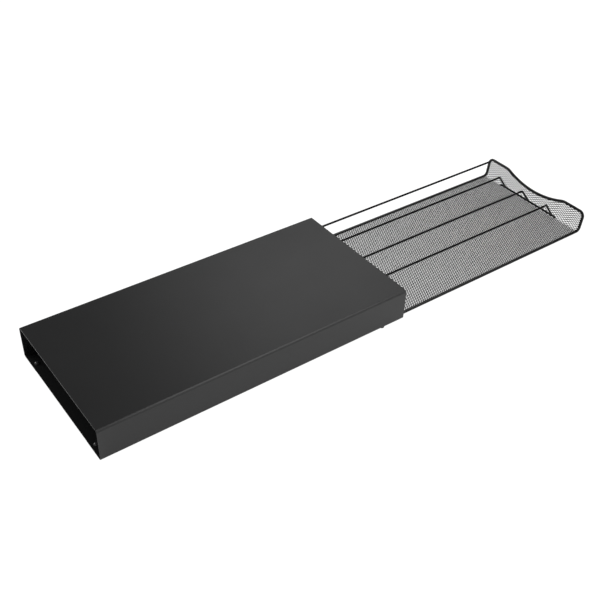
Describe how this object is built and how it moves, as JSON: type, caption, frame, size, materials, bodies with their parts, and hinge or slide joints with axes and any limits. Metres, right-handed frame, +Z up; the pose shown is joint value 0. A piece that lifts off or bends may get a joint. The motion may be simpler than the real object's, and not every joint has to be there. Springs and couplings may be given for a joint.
{
  "type": "sliding mesh tray organizer",
  "caption": "Flat black steel sleeve, open at both ends, with a sliding expanded-mesh tray split into four lanes by bent wire dividers.",
  "frame": {"origin": "middle of the whole footprint, sleeve and pulled-out tray together, on the surface that the rubber feet stand on", "axes": "+X the way the tray pulls out, +Y the side with the rail, +Z up"},
  "size_m": [0.8802, 0.2286, 0.0553],
  "materials": {
    "sleeve_coat": "satin black powder coat",
    "rivet_steel": "gloss black paint on a steel rivet",
    "rim_coat": "satin black powder coat",
    "mesh_coat": "satin black powder coat on expanded steel",
    "wire_coat": "satin black powder coat on drawn wire",
    "foot_rubber": "matt black rubber"
  },
  "bodies": {
    "sleeve": {"sleeve_shell": "sleeve_coat", "sleeve_base": "sleeve_coat", "rear_stop_rivets": "rivet_steel", "foot_front_near": "foot_rubber", "foot_front_far": "foot_rubber", "foot_rear_near": "foot_rubber", "foot_rear_far": "foot_rubber"},
    "tray": {"tray_rim": "rim_coat", "tray_floor_mesh": "mesh_coat", "front_wall_mesh": "mesh_coat", "rear_wall_mesh": "mesh_coat", "side_rail": "wire_coat", "divider_near": "wire_coat", "divider_middle": "wire_coat", "divider_far": "wire_coat", "front_cross_wire": "wire_coat", "rear_cross_wire": "wire_coat"}
  },
  "joints": [
    {"name": "tray_slide", "type": "slide", "parent": "sleeve", "child": "tray", "axis": [1, 0, 0], "range_m": [-0.4, 0.03]}
  ]
}
